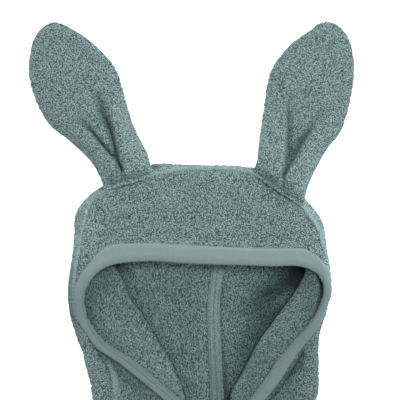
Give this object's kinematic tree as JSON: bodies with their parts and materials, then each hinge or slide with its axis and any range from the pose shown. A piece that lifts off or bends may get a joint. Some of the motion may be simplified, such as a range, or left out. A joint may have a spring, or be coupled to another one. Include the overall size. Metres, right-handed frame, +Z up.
{
  "type": "child bathrobe",
  "caption": "Child's hooded terry robe laid out flat on its back, with long soft ears on the hood, a bound hood opening and front edge, and a tied belt at the waist.",
  "frame": {"origin": "on the surface the robe lies on, under the middle of the whole robe's box", "axes": "+Y up the garment from the hem to the ears, +Z up from the surface, +X to the right seen from above"},
  "size_m": [0.6818, 0.9585, 0.0322],
  "materials": {
    "terry": "matt cotton terry with a short looped pile",
    "binding": "smooth matt cotton jersey, folded over the edge and stitched"
  },
  "bodies": {
    "root": {"hood_front": "terry", "hood_back_left": "terry", "hood_back_right": "terry", "seam_tape": "binding", "binding": "binding", "ear_left_front": "terry", "ear_left_back": "terry", "ear_right_front": "terry", "ear_right_back": "terry", "back": "terry", "front_left": "terry", "front_right": "terry", "sleeve_left": "terry", "sleeve_right": "terry", "belt_waist": "terry", "belt_knot": "terry", "belt_tail_left": "terry", "belt_tail_right": "terry", "belt_loop_left": "terry", "belt_loop_right": "terry"}
  },
  "joints": []
}
